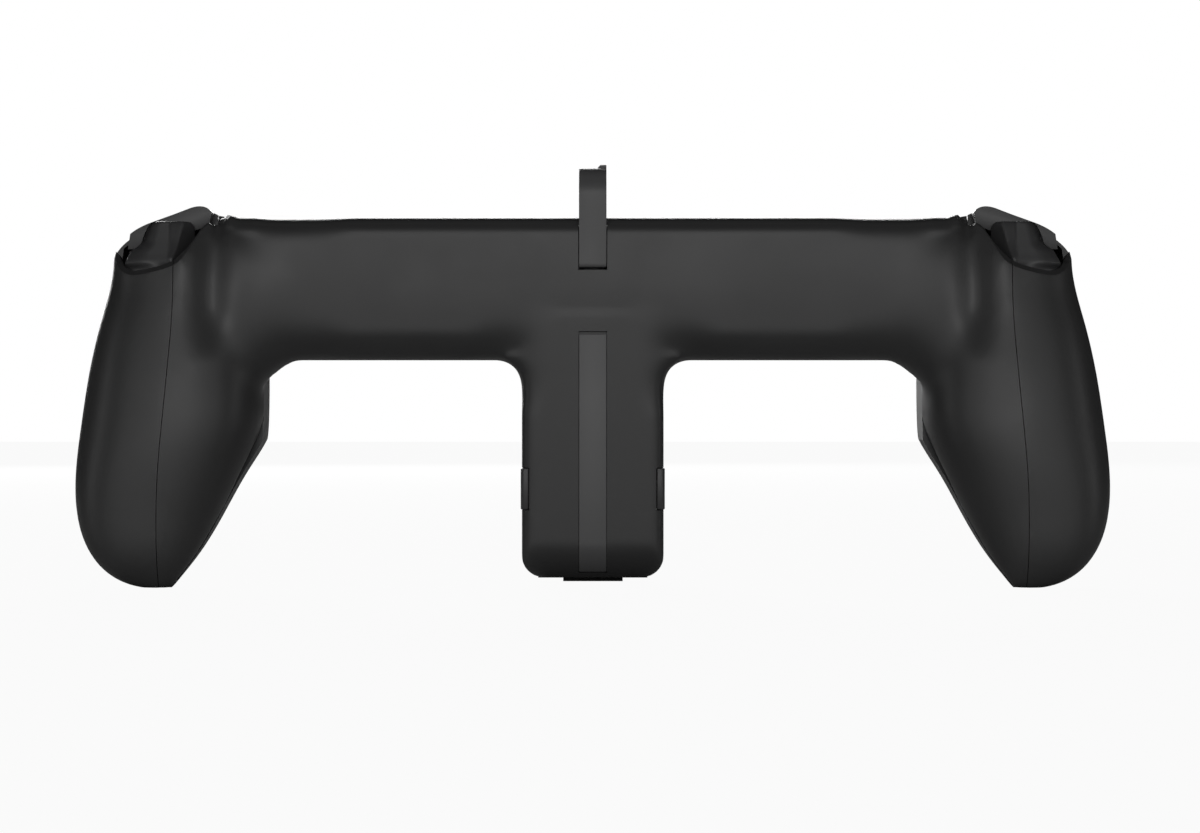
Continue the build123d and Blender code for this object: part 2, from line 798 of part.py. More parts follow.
def trigger():
    profile = [(-2.4, trigger_top), (-1.7, 93.6), (-0.6, 90.0), (0.9, 86.6), (2.6, 83.6)]
    back = Edge.make_spline([Vector(0, deep(y), z) for y, z in profile])
    y_pivot, z_pivot = trigger_pivot
    nose = y_pivot - axle_radius - trigger_wall
    corners = [profile[-1], (2.6, trigger_low), (-2.2, trigger_low), (nose + 1.6, z_pivot - 3.2),
               (nose, z_pivot - 0.6), (nose, z_pivot + 0.5), (trigger_front, z_pivot + 1.2),
               (trigger_front, trigger_top - 1.3), (trigger_front + 1.3, trigger_top), profile[0]]
    lines = [Edge.make_line(Vector(0, deep(a[0]), a[1]), Vector(0, deep(b[0]), b[1]))
             for a, b in zip(corners, corners[1:])]
    side = Face(Wire([back] + lines))
    body = Pos(trigger_inner, 0, 0) * Solid.extrude(side, Vector(trigger_outer - trigger_inner, 0, 0))
    # seen from the rear: S-shaped outer edge
    edge = [(116.2, trigger_top + 1), (116.7, 94.3), (117.8, 91.9), (118.9, 88.7), (122.6, 85.1),
            (124.2, trigger_low - 1)]
    body &= through(line_region(edge, [(90.0, trigger_low - 1), (90.0, trigger_top + 1)]), (-20, 20))
    # seen from above: slanted inner flank from the ridge
    with BuildSketch(Plane.XY) as plan:
        with BuildLine():
            Polyline((trigger_inner, deep(trigger_front)), (trigger_ridge, deep(3.2)),
                     (trigger_outer, deep(3.2)), (trigger_outer, deep(trigger_front)), close=True)
        make_face()
    body &= Pos(0, 0, 60) * extrude(plan.sketch, 60)
    body &= handle_half(True, wall + trigger_clear, cavity_rows) + block((90, 140), (-20, 20), (90.0, 120))
    # hollow behind the finger face
    t = trigger_wall
    inner = [(nose - 1, trigger_top - 4.5), (trigger_front + 1.2, trigger_top - 2.4), (-4.4, trigger_top - t),
             (-3.9, 92.8), (-2.5, 90.4), (-1.0, 86.8), (0.7, 83.8), (0.9, trigger_low - 1), (nose - 1, trigger_low - 1)]
    with BuildSketch(Plane.YZ) as pocket:
        with BuildLine():
            Polyline([(deep(y), z) for y, z in inner], close=True)
        make_face()
    room = Pos(lug_x[0] - 2.2, 0, 0) * extrude(pocket.sketch, lug_x[1] - lug_x[0] + 3.0)
    body -= room
    body -= cross_rod((90, 140), y_pivot, z_pivot, axle_radius + running_fit)
    return body.solids().sort_by(SortBy.VOLUME)[-1]


def trigger_axle():
    return cross_rod((lug_x[0] - 3.6, lug_x[1] + 2.6), trigger_pivot[0], trigger_pivot[1], axle_radius)


def trigger_spring():
    y_pivot, z_pivot = trigger_pivot
    low = lug_x[0] - 0.2 - spring_length
    ring = cross_rod((low, low + spring_length), y_pivot, z_pivot, spring_outer)
    return ring - cross_rod((low - 1, low + 3), y_pivot, z_pivot, axle_radius + running_fit)


def bumper():
    rise = bumper_proud
    top = [(x, z + rise) for x, z in bumper_top]
    face = line_region(top, bumper_under)
    body = through(face, (bumper_front, bumper_front + bumper_deep))
    body &= handle_half(True, bumper_inset, handle_rows)
    x, z = bumper_pivot
    body += rod(x, z, bumper_pin, (split - 1.6, bumper_front + 0.5))
    return body.solids().sort_by(SortBy.VOLUME)[-1]


def stick_parts():
    pivot = front_y + stick_pivot_deep
    centre = Pos(stick_x, deep(pivot), stick_z)

    def axial(radius, low, high):
        # Round bar on the stick's axis; heights count from the pivot towards the player
        return rod(stick_x, stick_z, radius, (pivot - high, pivot - low))

    cap_top = stick_pivot_deep + stick_proud
    cap = axial(stick_cap, cap_top - stick_cap_thick, cap_top)
    cap = fillet(cap.edges().filter_by(GeomType.CIRCLE), 0.9)
    dish_radius = 30.0
    cap -= Pos(stick_x, deep(pivot - cap_top - dish_radius + stick_dish), stick_z) * Sphere(dish_radius)
    dome = centre * (Sphere(stick_dome) - Sphere(stick_dome - stick_dome_wall))
    dome &= block((0, big), (pivot - 20, pivot - stick_dome_cut), (0, 200))
    stick = cap + dome + axial(stick_neck, stick_dome - 0.5, cap_top - 1.5) + axial(1.5, 0, stick_dome)
    stick += centre * Sphere(stick_hub)
    stick += centre * Cylinder(stick_pin, 2 * stick_pin_reach)
    yoke = axial(yoke_outer, -yoke_half, yoke_half) - axial(yoke_inner, -2, 2)
    yoke -= centre * Cylinder(stick_pin + running_fit, 40)
    for way in (-1, 1):
        ends = sorted((way * (yoke_outer - 0.3), way * yoke_pin_reach))
        yoke += cross_rod((stick_x + ends[0], stick_x + ends[1]), pivot, stick_z, stick_pin)
    carrier = axial(carrier_outer, -carrier_down, carrier_up)
    carrier -= axial(carrier_inner, -carrier_down - 1, carrier_up + 1)
    carrier -= cross_rod((stick_x - 20, stick_x + 20), pivot, stick_z, stick_pin + running_fit)
    cup = axial(cup_outer, -cup_down, cup_up)
    for x, z in leg_places():
        for share in (1.0, 0.86):
            ear_x = stick_x + share * (x - stick_x)
            ear_z = stick_z + share * (z - stick_z)
            cup += rod(ear_x, ear_z, ear_radius, (pivot - cup_up, pivot - cup_up + ear_thick))
    cup -= axial(cup_inner, -cup_down + cup_floor, 1)
    save_pair(stick, "thumbstick")
    save_pair(yoke, "stick_yoke")
    save_pair(carrier, "stick_carrier")
    save_pair(cup, "stick_housing")


def round_button(x, z, radius, proud, drop):
    top = front_y - proud
    under = front_y + wall + flange_gap + drop
    cap = rod(x, z, radius, (top, button_foot))
    cap = fillet(cap.edges().filter_by(GeomType.CIRCLE).sort_by(Axis.Y)[:1], 0.4)
    return cap + rod(x, z, radius + button_flange, (under, under + button_flange_thick))


def direction_pad():
    pad = cross_shape(0, (front_y - cross_proud, front_y + wall + cross_flange_drop + 0.6))
    under = front_y + wall + cross_flange_drop
    pad += cross_shape(cross_flange, (under, under + 1.0)) & rod(face_x, face_z, cross_half + 0.6, (-60, 0))
    pad -= Pos(face_x, deep(front_y - cross_proud - 12.0 + dimple), face_z) * Sphere(12.0)
    pad += rod(face_x, face_z, cross_hub, (under, cross_pivot + 0.2))
    pin = Pos(face_x, deep(cross_pivot), face_z) * Cylinder(0.6, 2 * rocker_half - 1.6)
    return pad + pin


def rocker():
    # Ring between the direction pad and its posts, for the second tilt axis
    ring = rod(face_x, face_z, rocker_half, (cross_pivot - 0.9, cross_pivot + 0.9))
    ring -= rod(face_x, face_z, rocker_half - 1.2, (cross_pivot - 2, cross_pivot + 2))
    ring -= Pos(face_x, deep(cross_pivot), face_z) * Cylinder(0.6 + running_fit, 20)
    for way in (-1, 1):
        ends = sorted((way * (rocker_half - 0.3), way * (rocker_half + 1.2)))
        ring += cross_rod((face_x + ends[0], face_x + ends[1]), cross_pivot, face_z, 0.6)
    return ring


def board():
    plate = block(board_x, (board_deep, board_deep + board_thick), board_z)
    return fillet(plate.edges().filter_by(Axis.Y), 1.5)


def main_board():
    # Board in the bridge, with its connector standing on the ribbon cable
    plate = block(main_board_x, (main_board_deep, main_board_deep + main_board_thick), main_board_z)
    return plate + block(connector_x, (cover_back + ribbon_thick, main_board_deep), ribbon_z)


def ribbon_cable():
    # Flat cable behind the cover plate, turned down to the control board at each end
    flat = block((-ribbon_reach, ribbon_reach), (cover_back, cover_back + ribbon_thick), ribbon_z)
    turn = block((ribbon_reach - ribbon_thick, ribbon_reach),
                 (board_deep + board_thick, cover_back + ribbon_thick), ribbon_z)
    return flat + both(turn)


def membrane(cross):
    # Rubber sheet on the board with one dome under each contact
    half = membrane_half
    sheet = block((face_x - half, face_x + half), (board_deep - membrane_thick, board_deep),
                  (face_z - half, face_z + half))
    sheet = fillet(sheet.edges().filter_by(Axis.Y), 2.0)
    top = button_foot + button_press + membrane_gap
    for x, z in face_places().values():
        sheet += rod(x, z, 3.0, (top, board_deep - 0.2))
    if cross:
        for way in (-1, 1):
            x = face_x + way * (rocker_half + 1.5)
            clip = rod(x, face_z, 1.3, (cross_pivot - 1.2, board_deep - 0.2))
            clip -= cross_rod((face_x - 20, face_x + 20), cross_pivot, face_z, 0.6 + running_fit)
            sheet += clip
    return sheet


def motor_parts():
    motor = upright(motor_x, motor_deep, motor_radius, (motor_low, motor_low + motor_length))
    motor -= upright(motor_x, motor_deep, motor_shaft + running_fit, (motor_low - 3, motor_low + shaft_depth))
    # half-disc weight on its shaft
    weight_top = motor_low - weight_gap
    weight_z = (weight_top - weight_length, weight_top)
    weight = upright(motor_x, motor_deep, weight_radius, weight_z)
    weight &= block((0, big), (motor_deep - 0.8, 60), (0, 200))
    weight += upright(motor_x, motor_deep, weight_hub, weight_z)
    weight += upright(motor_x, motor_deep, motor_shaft, (weight_top - 1, motor_low + shaft_depth - 1))
    save_pair(motor, "rumble_motor")
    save_pair(weight, "rumble_weight")


def usb_plug():
    base_x, base_y, base_z = plug_base
    base = block((-base_x / 2, base_x / 2), (console_mid - base_y / 2, console_mid + base_y / 2),
                 (ledge_top - base_z, ledge_top))
    half_thick = plug_thick / 2
    shell = block((-plug_width / 2, plug_width / 2), (console_mid - half_thick, console_mid + half_thick),
                  (ledge_top - 0.5, rest_top + plug_height))
    shell = fillet(shell.edges().filter_by(Axis.Z), plug_thick / 2 - 0.05)
    mouth = block((-plug_width / 2 + 0.6, plug_width / 2 - 0.6), (console_mid - 0.75, console_mid + 0.75),
                  (rest_top + 1.6, rest_top + plug_height + 1))
    return base + (shell - mouth)


def pads():
    save_pair(pad_shape(pad_recess), "bridge_pad")
    stem_pad = block((-stem_pad_half, stem_pad_half), (console_back, split + pad_recess), stem_pad_z)
    save(stem_pad, "stem_pad")
    hole_x = plug_width / 2 + hole_clear
    hole_y = plug_thick / 2 + hole_clear
    sole_half = ledge_half - sole_inset
    sole = block((-sole_half, sole_half), (console_mid - console_depth / 2, split - 0.6),
                 (ledge_top, rest_top))
    sole -= block((-hole_x, hole_x), (console_mid - hole_y, console_mid + hole_y), (0, 20))
    save(sole, "ledge_pad")
    foot = block((-foot_half, foot_half), foot_deep, (0, ledge_low + foot_recess))
    save(foot, "foot_pad")
    hook_pad = block((-hook_width / 2, hook_width / 2), (console_mid - console_depth / 2, split + 2.0),
                     (hook_under, hook_top - hook_thick))
    save(hook_pad, "hook_pad")


def screws():
    group = []
    for x, z in cover_screws:
        for way in (1, -1):
            head = rod(way * x, z, screw_head, (split + 0.1, split + screw_head_deep))
            shank = rod(way * x, z, screw_shank, (split + 0.5, split + screw_length))
            recess = rod(way * x, z, 0.8, (split, split + 0.7))
            group.append((head + shank - recess).solids()[0])
    return Compound(children=group)


save(rear_shell(), "rear_shell")
save(front_cover(), "front_cover")
save_pair(grip_cover(), "grip_cover")
save(front_shell(False), "front_shell_right")
save(front_shell(True).mirror(Plane.YZ), "front_shell_left")
save(clamp_hook(), "clamp_hook")
save(clamp_spring(), "clamp_spring")
save(stem_strip_ring(0, strip_top), "stem_strip")
save_pair(release_button(), "release_button")
save_pair(release_spring(), "release_spring")
save_pair(trigger(), "trigger")
save_pair(trigger_axle(), "trigger_axle")
save_pair(trigger_spring(), "trigger_spring")
save_pair(bumper(), "bumper")
stick_parts()
for place, (x, z) in face_places().items():
    save(round_button(x, z, face_radius, face_proud, 0), f"face_button_{place}")
save(direction_pad().mirror(Plane.YZ), "direction_pad")
save(rocker().mirror(Plane.YZ), "direction_pad_rocker")
menu = round_button(menu_x, menu_z, menu_radius, menu_proud, menu_flange_drop)
save(menu, "plus_button")
save(menu.mirror(Plane.YZ), "minus_button")
home = round_button(home_x, home_z, home_radius, home_proud, low_flange_drop)
save(home, "home_button")
save(home.mirror(Plane.YZ), "capture_button")
save(membrane(False), "button_membrane_right")
save(membrane(True).mirror(Plane.YZ), "button_membrane_left")
save_pair(board(), "control_board")
save(main_board(), "main_board")
save(ribbon_cable(), "ribbon_cable")
save(usb_plug(), "usb_plug")
motor_parts()
pads()
save(screws(), "cover_screws")
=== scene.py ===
import bpy
import json
from math import cos, exp, radians, sin
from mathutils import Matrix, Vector

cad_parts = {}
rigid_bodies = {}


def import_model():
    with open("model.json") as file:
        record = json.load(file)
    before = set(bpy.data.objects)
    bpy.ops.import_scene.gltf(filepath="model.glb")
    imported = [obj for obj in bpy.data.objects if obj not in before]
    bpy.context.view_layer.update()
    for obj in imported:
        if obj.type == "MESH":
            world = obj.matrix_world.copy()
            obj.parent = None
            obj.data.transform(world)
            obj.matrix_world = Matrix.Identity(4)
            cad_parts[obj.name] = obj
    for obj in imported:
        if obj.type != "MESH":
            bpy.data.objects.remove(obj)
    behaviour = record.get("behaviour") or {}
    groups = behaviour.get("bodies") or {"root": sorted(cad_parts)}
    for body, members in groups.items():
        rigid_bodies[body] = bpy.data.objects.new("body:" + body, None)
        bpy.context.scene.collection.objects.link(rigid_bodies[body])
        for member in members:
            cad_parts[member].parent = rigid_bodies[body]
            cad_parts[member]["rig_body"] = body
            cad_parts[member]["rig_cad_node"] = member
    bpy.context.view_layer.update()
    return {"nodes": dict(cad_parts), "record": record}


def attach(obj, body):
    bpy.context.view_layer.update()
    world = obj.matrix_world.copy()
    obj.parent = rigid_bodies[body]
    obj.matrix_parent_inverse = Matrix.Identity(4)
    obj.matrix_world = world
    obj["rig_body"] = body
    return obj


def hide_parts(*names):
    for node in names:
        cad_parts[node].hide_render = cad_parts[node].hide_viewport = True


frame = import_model()
nodes = frame["nodes"]
slots = {row["node"]: row["material_slot"] for row in frame["record"]["subparts"]}
bodyOf = {name: piece["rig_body"] for name, piece in nodes.items()}

mm = 0.001               # lengths below are in mm unless they stand in the studio
backY = 11.75            # back face of bridge and stem, which looks at the camera

# Camera, as the photograph was taken: level, behind the part, long lens
cameraSet = {
    "place": (-0.0019, 0.71175, 0.0443),
    "lens": 80.4,
    "sensor": 36.0,
    "near": 0.01,
    "far": 30.0,
}

# Soft boxes: place, aim, size and power, in metres and watts
lamps = {
    "key": ((0.0, 1.6, 0.38), (0, 0, 0.06), (0.8, 0.22), 4.6),
    "leftSide": ((0.8, 1.3, 0.26), (0.1, 0, 0.05), (0.9, 0.7), 2.8),
    "rightSide": ((-0.8, 1.3, 0.26), (-0.1, 0, 0.05), (0.9, 0.7), 2.8),
    "leftEdge": ((1.5, 0.3, 0.12), (0.1, 0, 0.05), (0.3, 0.8), 1.5),
    "rightEdge": ((-1.5, 0.3, 0.12), (-0.1, 0, 0.05), (0.3, 0.8), 1.5),
    "front": ((0.3, -1.6, 0.6), (0, 0, 0.05), (1.2, 0.8), 26.0),
    "top": ((0.0, 0.1, 1.5), (0, 0, 0.05), (0.8, 0.5), 0.25),
}

# Pale surroundings: the world and the floor are bright to the eye, and dim as light on the part
studioSet = {
    "worldSeen": 1.0,
    "worldLight": 0.02,
    "floorGlow": 0.95,
    "floorTone": 0.4,
    "floorSize": 8.0,
}


def linkNode(tree, fromNode, fromSocket, toNode, toSocket):
    tree.links.new(fromNode.outputs[fromSocket], toNode.inputs[toSocket])


def makeCamera():
    data = bpy.data.cameras.new("camera")
    data.lens = cameraSet["lens"]
    data.sensor_width = cameraSet["sensor"]
    data.clip_start = cameraSet["near"]
    data.clip_end = cameraSet["far"]
    camera = bpy.data.objects.new("camera", data)
    camera.location = cameraSet["place"]
    camera.rotation_euler = (radians(90), 0, radians(180))    # level, looking towards -Y
    bpy.context.collection.objects.link(camera)
    bpy.context.scene.camera = camera


def makeLight(name, place, aim, size, power):
    data = bpy.data.lights.new(name, "AREA")
    data.shape = "RECTANGLE"
    data.size, data.size_y = size
    data.energy = power
    light = bpy.data.objects.new(name, data)
    light.location = place
    light.rotation_euler = (Vector(aim) - Vector(place)).to_track_quat("-Z", "Y").to_euler()
    bpy.context.collection.objects.link(light)


def makeWorld():
    world = bpy.data.worlds.new("studio")
    bpy.context.scene.world = world
    world.use_nodes = True
    tree = world.node_tree
    tree.nodes.clear()
    seen = tree.nodes.new("ShaderNodeBackground")
    seen.inputs["Strength"].default_value = studioSet["worldSeen"]
    light = tree.nodes.new("ShaderNodeBackground")
    light.inputs["Strength"].default_value = studioSet["worldLight"]
    for item in (seen, light):
        item.inputs["Color"].default_value = (1, 1, 1, 1)
    path = tree.nodes.new("ShaderNodeLightPath")
    mix = tree.nodes.new("ShaderNodeMixShader")
    out = tree.nodes.new("ShaderNodeOutputWorld")
    linkNode(tree, path, "Is Camera Ray", mix, 0)
    linkNode(tree, light, 0, mix, 1)
    linkNode(tree, seen, 0, mix, 2)
    linkNode(tree, mix, 0, out, "Surface")


def makeFloor():
    bpy.ops.mesh.primitive_plane_add(size=studioSet["floorSize"], location=(0, 0, 0))
    floor = bpy.context.object
    floor.name = "floor"
    skin = bpy.data.materials.new("floor")
    skin.use_nodes = True
    tree = skin.node_tree
    tree.nodes.clear()
    matt = tree.nodes.new("ShaderNodeBsdfDiffuse")
    matt.inputs["Color"].default_value = (*[studioSet["floorTone"]] * 3, 1)
    glow = tree.nodes.new("ShaderNodeEmission")
    glow.inputs["Color"].default_value = (1, 1, 1, 1)
    path = tree.nodes.new("ShaderNodeLightPath")
    share = tree.nodes.new("ShaderNodeMath")
    share.operation = "MULTIPLY"
    share.inputs[1].default_value = studioSet["floorGlow"]
    mix = tree.nodes.new("ShaderNodeMixShader")
    out = tree.nodes.new("ShaderNodeOutputMaterial")
    linkNode(tree, path, "Is Camera Ray", share, 0)
    linkNode(tree, share, 0, mix, 0)
    linkNode(tree, matt, 0, mix, 1)
    linkNode(tree, glow, 0, mix, 2)
    linkNode(tree, mix, 0, out, "Surface")
    floor.data.materials.append(skin)


# Shared by all plastics, rubbers and metals; sizes in metres
plasticSet = {
    "ior": 1.46,
    "shine": 0.5,
    "fineDetail": 3.0,
    "driftScale": 60.0,
    "driftDetail": 4.0,
    "grainHeight": 0.00006,
    "shineSpread": 0.06,
    "toneSpread": 0.08,
    # The four entries below paint a highlight: convex edges get a paler base colour
    "wornFrom": 0.53,
    "wornTo": 0.62,
    "wornTone": 1.9,
    "wear": 0.25,
}


def mouldedPlastic(name, colour, roughness, grain=0.00035, depth=0.12):
    # Fine moulded grain in the bump, slow drift of tone and shine, convex edges paler as a painted highlight
    skin = bpy.data.materials.new(name)
    skin.use_nodes = True
    tree = skin.node_tree
    shader = tree.nodes["Principled BSDF"]
    shader.inputs["IOR"].default_value = plasticSet["ior"]
    shader.inputs["Specular IOR Level"].default_value = plasticSet["shine"]
    where = tree.nodes.new("ShaderNodeTexCoord")
    fine = tree.nodes.new("ShaderNodeTexNoise")
    fine.inputs["Scale"].default_value = 1 / grain
    fine.inputs["Detail"].default_value = plasticSet["fineDetail"]
    slow = tree.nodes.new("ShaderNodeTexNoise")
    slow.inputs["Scale"].default_value = plasticSet["driftScale"]
    slow.inputs["Detail"].default_value = plasticSet["driftDetail"]
    for item in (fine, slow):
        linkNode(tree, where, "Object", item, "Vector")
    bump = tree.nodes.new("ShaderNodeBump")
    bump.inputs["Strength"].default_value = depth
    bump.inputs["Distance"].default_value = plasticSet["grainHeight"]
    linkNode(tree, fine, "Fac", bump, "Height")
    linkNode(tree, bump, "Normal", shader, "Normal")
    shine = tree.nodes.new("ShaderNodeMapRange")
    shine.inputs["To Min"].default_value = roughness - plasticSet["shineSpread"]
    shine.inputs["To Max"].default_value = roughness + plasticSet["shineSpread"]
    linkNode(tree, slow, "Fac", shine, "Value")
    linkNode(tree, shine, "Result", shader, "Roughness")
    drift = tree.nodes.new("ShaderNodeMix")
    drift.data_type = "RGBA"
    drift.inputs["A"].default_value = (*[c * (1 - plasticSet["toneSpread"]) for c in colour], 1)
    drift.inputs["B"].default_value = (*[c * (1 + plasticSet["toneSpread"]) for c in colour], 1)
    linkNode(tree, slow, "Fac", drift, "Factor")
    # Painted highlight: edges that stick out, found by pointiness, get a paler base colour
    edge = tree.nodes.new("ShaderNodeNewGeometry")
    glintMask = tree.nodes.new("ShaderNodeMapRange")
    glintMask.inputs["From Min"].default_value = plasticSet["wornFrom"]
    glintMask.inputs["From Max"].default_value = plasticSet["wornTo"]
    glintMask.inputs["To Max"].default_value = plasticSet["wear"]
    linkNode(tree, edge, "Pointiness", glintMask, "Value")
    glintMix = tree.nodes.new("ShaderNodeMix")
    glintMix.data_type = "RGBA"
    glintMix.inputs["B"].default_value = (*[min(1, c * plasticSet["wornTone"]) for c in colour], 1)
    linkNode(tree, drift, "Result", glintMix, "A")
    linkNode(tree, glintMask, "Result", glintMix, "Factor")
    linkNode(tree, glintMix, "Result", shader, "Base Color")
    return skin


charcoal = (0.034, 0.034, 0.0343)
skins = {
    "shell_plastic": mouldedPlastic("shellPlastic", charcoal, 0.42),
    "grip_plastic": mouldedPlastic("gripPlastic", charcoal, 0.42),
    "strip_plastic": mouldedPlastic("stripPlastic", (0.082, 0.082, 0.083), 0.45),
    "button_plastic": mouldedPlastic("buttonPlastic", (0.042, 0.042, 0.043), 0.42, grain=0.0006),
    "inner_plastic": mouldedPlastic("innerPlastic", (0.03, 0.03, 0.031), 0.5),
    "stick_rubber": mouldedPlastic("stickRubber", (0.035, 0.035, 0.036), 0.7, grain=0.0005, depth=0.3),
    "pad_rubber": mouldedPlastic("padRubber", (0.03, 0.03, 0.031), 0.8, grain=0.0006, depth=0.35),
    "steel": mouldedPlastic("steel", (0.5, 0.5, 0.5), 0.35),
    "plug_steel": mouldedPlastic("plugSteel", (0.6, 0.6, 0.61), 0.3),
    "board": mouldedPlastic("board", (0.02, 0.11, 0.05), 0.4),
    "ribbon": mouldedPlastic("ribbon", (0.4, 0.22, 0.06), 0.4),
}
for name, piece in nodes.items():
    piece.data.materials.clear()
    piece.data.materials.append(skins[slots[name]])
print("materials done")

# Rear shell and grip covers; seam and rim are (x, z) of the right-hand side
shellSet = {
    "voxel": 0.8,
    "seamGap": 0.18,
    "rimLean": 1.3,
    "rimHalf": 1.8,
    "rimStart": 6,
    "rimFront": -30,
    "rimBack": 40,
    "rimSteps": 5,
    "crumb": 400,
    "seam": [(109.5, 104.0), (108.9, 76.0), (110.0, 55.0), (112.0, 30.0), (112.4, 14.0), (112.0, -4.0)],
    "rim": [(92.6, 96.8), (97.0, 96.3), (99.4, 95.2), (101.4, 93.8), (103.0, 91.7), (104.4, 89.2),
            (106.4, 85.8), (108.6, 83.8), (113.0, 82.2), (119.5, 81.1), (122.7, 82.0), (124.6, 83.8),
            (125.9, 86.0), (129.5, 90.0)],
    "aboveRim": [(140.0, 92.0), (140.0, 130.0), (93.5, 130.0)],
    "smoothAngle": 35,
}


def pickOnly(*pieces):
    bpy.ops.object.select_all(action="DESELECT")
    for piece in pieces:
        piece.hide_set(False)
        piece.select_set(True)
    bpy.context.view_layer.objects.active = pieces[0]


def copyOf(nodeName, newName):
    # A piece's own copy of a CAD node, its corners merged
    piece = nodes[nodeName].copy()
    piece.data = nodes[nodeName].data.copy()
    piece.name = newName
    piece.parent = None
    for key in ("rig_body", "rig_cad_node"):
        del piece[key]
    bpy.context.scene.collection.objects.link(piece)
    piece.hide_render = False
    pickOnly(piece)
    bpy.ops.object.mode_set(mode="EDIT")
    bpy.ops.mesh.select_all(action="SELECT")
    bpy.ops.mesh.remove_doubles(threshold=0.000005)
    bpy.ops.object.mode_set(mode="OBJECT")
    return piece


def prism(name, outline, across, low, high):
    # Outline in the two other directions, drawn out along one of x, y, z
    def place(pair, level):
        u, v = pair
        return {"x": (level, u, v), "y": (u, level, v), "z": (u, v, level)}[across]
    mesh = bpy.data.meshes.new(name)
    mesh.from_pydata([[c * mm for c in place(pair, low)] for pair in outline], [], [range(len(outline))])
    piece = bpy.data.objects.new(name, mesh)
    bpy.context.scene.collection.objects.link(piece)
    pickOnly(piece)
    bpy.ops.object.mode_set(mode="EDIT")
    bpy.ops.mesh.select_all(action="SELECT")
    step = [(high - low) * mm if axis == across else 0 for axis in "xyz"]
    bpy.ops.mesh.extrude_region_move(TRANSFORM_OT_translate={"value": step})
    bpy.ops.mesh.select_all(action="SELECT")
    bpy.ops.mesh.normals_make_consistent(inside=False)
    bpy.ops.object.mode_set(mode="OBJECT")
    return piece


def boxPiece(name, low, high):
    outline = [(low[0], low[1]), (high[0], low[1]), (high[0], high[1]), (low[0], high[1])]
    return prism(name, outline, "z", low[2], high[2])


def applyLast(piece):
    pickOnly(piece)
    bpy.ops.object.modifier_apply(modifier=piece.modifiers[-1].name)


def combine(piece, tool, operation):
    pickOnly(piece)
    bpy.ops.object.modifier_add(type="BOOLEAN")
    step = piece.modifiers[-1]
    step.operation = operation
    step.solver = "EXACT"
    step.object = tool
    applyLast(piece)
    bpy.data.objects.remove(tool)


def remesh(piece, voxel):
    pickOnly(piece)
    bpy.ops.object.modifier_add(type="REMESH")
    step = piece.modifiers[-1]
    step.mode = "VOXEL"
    step.voxel_size = voxel * mm
    applyLast(piece)


def smoothPath(points, steps=8):
    # Rounded path through the points
    last = len(points) - 1
    path = []
    for k in range(last):
        before, a, b, after = (points[max(0, min(last, k + n))] for n in (-1, 0, 1, 2))
        for n in range(steps):
            t = n / steps
            spot = []
            for p, q, r, s in zip(before, a, b, after):
                bend = 2 * p - 5 * q + 4 * r - s
                twist = 3 * q - p - 3 * r + s
                spot.append(0.5 * (2 * q + (r - p) * t + bend * t * t + twist * t ** 3))
            path.append(tuple(spot))
    return path + [points[-1]]


def fade(value, low, high):
    # 0 below low, 1 above high
    share = min(1, max(0, (value - low) / (high - low)))
    return share * share * (3 - 2 * share)


def hump(value, start, full, fullEnd, end):
    # Rises from start to full, falls from fullEnd to end
    return fade(value, start, full) * (1 - fade(value, fullEnd, end))


# What fills slot, windows and rim; slices are (low corner, high corner) of the right-hand side
fillSet = {
    "slotSlice": ((8.0, -20, -5), (10.3, 40, 120)),
    "slotShifts": (-11.9, -9.7, -7.5, -5.3),
    "windowSlice": ((12.5, -20, 33.0), (25.0, 40, 47.0)),
    "windowLift": -14.0,
    "seamClose": 0.14,
    "wallSlice": ((99.6, 4, 77), (140.0, 40, 110)),
    "wallRises": (1.3, 2.6, 3.9),
    "wallDraft": 0.25,
    "cornerSlice": ((94.5, 4, 84), (100.6, 40, 110)),
    "cornerLift": 1.2,
}


def sliceOf(nodeName, side, corners):
    # The part of a node between two corners
    piece = copyOf(nodeName, "filler")
    low, high = corners
    left, right = sorted((side * low[0], side * high[0]))
    combine(piece, boxPiece("cutter", (left, *low[1:]), (right, *high[1:])), "INTERSECT")
    return piece


def filledShell():
    # The three rear mouldings as one skin, with slot, recess and windows filled for the blending
    shell = copyOf("rear_shell", "rearShell")
    close = fillSet["seamClose"]
    fillers = []
    for shift in fillSet["slotShifts"]:
        piece = sliceOf("rear_shell", 1, fillSet["slotSlice"])
        piece.location.x = shift * mm
        fillers.append(piece)
    for side in (1, -1):
        piece = sliceOf("rear_shell", side, fillSet["windowSlice"])
        piece.location.z = fillSet["windowLift"] * mm
        fillers.append(piece)
        coverName = "grip_cover_right" if side > 0 else "grip_cover_left"
        piece = copyOf(coverName, "filler")
        piece.location.x = -side * close * mm
        fillers.append(piece)
        # The walls carried on above the rim, so that the rim can be cut clean
        for nodeName, lean in (("rear_shell", 0), (coverName, 1)):
            for rise in fillSet["wallRises"]:
                piece = sliceOf(nodeName, side, fillSet["wallSlice"])
                inward = fillSet["wallDraft"] * rise + close
                piece.location = (-side * lean * inward * mm, -close * lean * rise * mm, rise * mm)
                fillers.append(piece)
        # The bridge's corner beside the rim
        piece = sliceOf("rear_shell", side, fillSet["cornerSlice"])
        piece.location.z = fillSet["cornerLift"] * mm
        fillers.append(piece)
    pickOnly(shell, *fillers)
    bpy.ops.object.join()
    remesh(shell, shellSet["voxel"])
    return shell


def relax(piece, steps, groupName):
    pickOnly(piece)
    bpy.ops.object.modifier_add(type="SMOOTH")
    step = piece.modifiers[-1]
    step.factor = 0.5
    step.iterations = steps
    step.vertex_group = groupName
    applyLast(piece)


